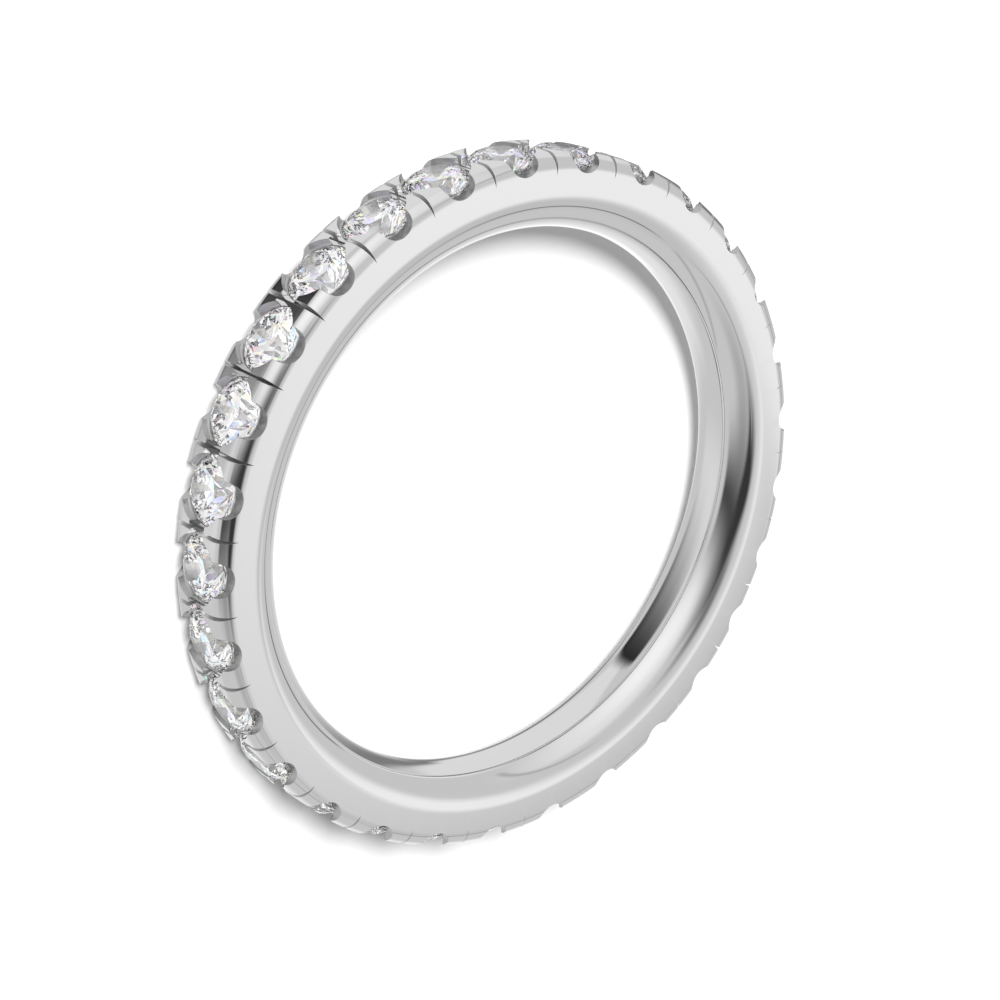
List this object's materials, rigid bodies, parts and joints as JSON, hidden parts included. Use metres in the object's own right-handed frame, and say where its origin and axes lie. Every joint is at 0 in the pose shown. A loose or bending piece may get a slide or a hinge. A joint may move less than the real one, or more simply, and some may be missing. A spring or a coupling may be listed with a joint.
{
  "type": "eternity ring",
  "caption": "Slim ring with a full row of round brilliant stones held by shared prongs, flat polished sides and a rounded inside.",
  "frame": {"origin": "on the finger axis, in the plane of the lower side face, on which the ring lies", "axes": "+Z is the finger axis, pointing up out of the side face that the picture shows. +X runs from the axis through the saw cut between the last stone and the first."},
  "size_m": [0.0211, 0.0212, 0.0025],
  "materials": {
    "metal": "mirror-polished white gold or platinum",
    "stone": "clear colourless stone, faceted and polished"
  },
  "bodies": {
    "root": {"band": "metal", "stone_01": "stone", "stone_02": "stone", "stone_03": "stone", "stone_04": "stone", "stone_05": "stone", "stone_06": "stone", "stone_07": "stone", "stone_08": "stone", "stone_09": "stone", "stone_10": "stone", "stone_11": "stone", "stone_12": "stone", "stone_13": "stone", "stone_14": "stone", "stone_15": "stone", "stone_16": "stone", "stone_17": "stone", "stone_18": "stone", "stone_19": "stone", "stone_20": "stone", "stone_21": "stone", "stone_22": "stone", "stone_23": "stone", "stone_24": "stone", "stone_25": "stone", "stone_26": "stone", "stone_27": "stone", "stone_28": "stone", "stone_29": "stone"}
  },
  "joints": []
}
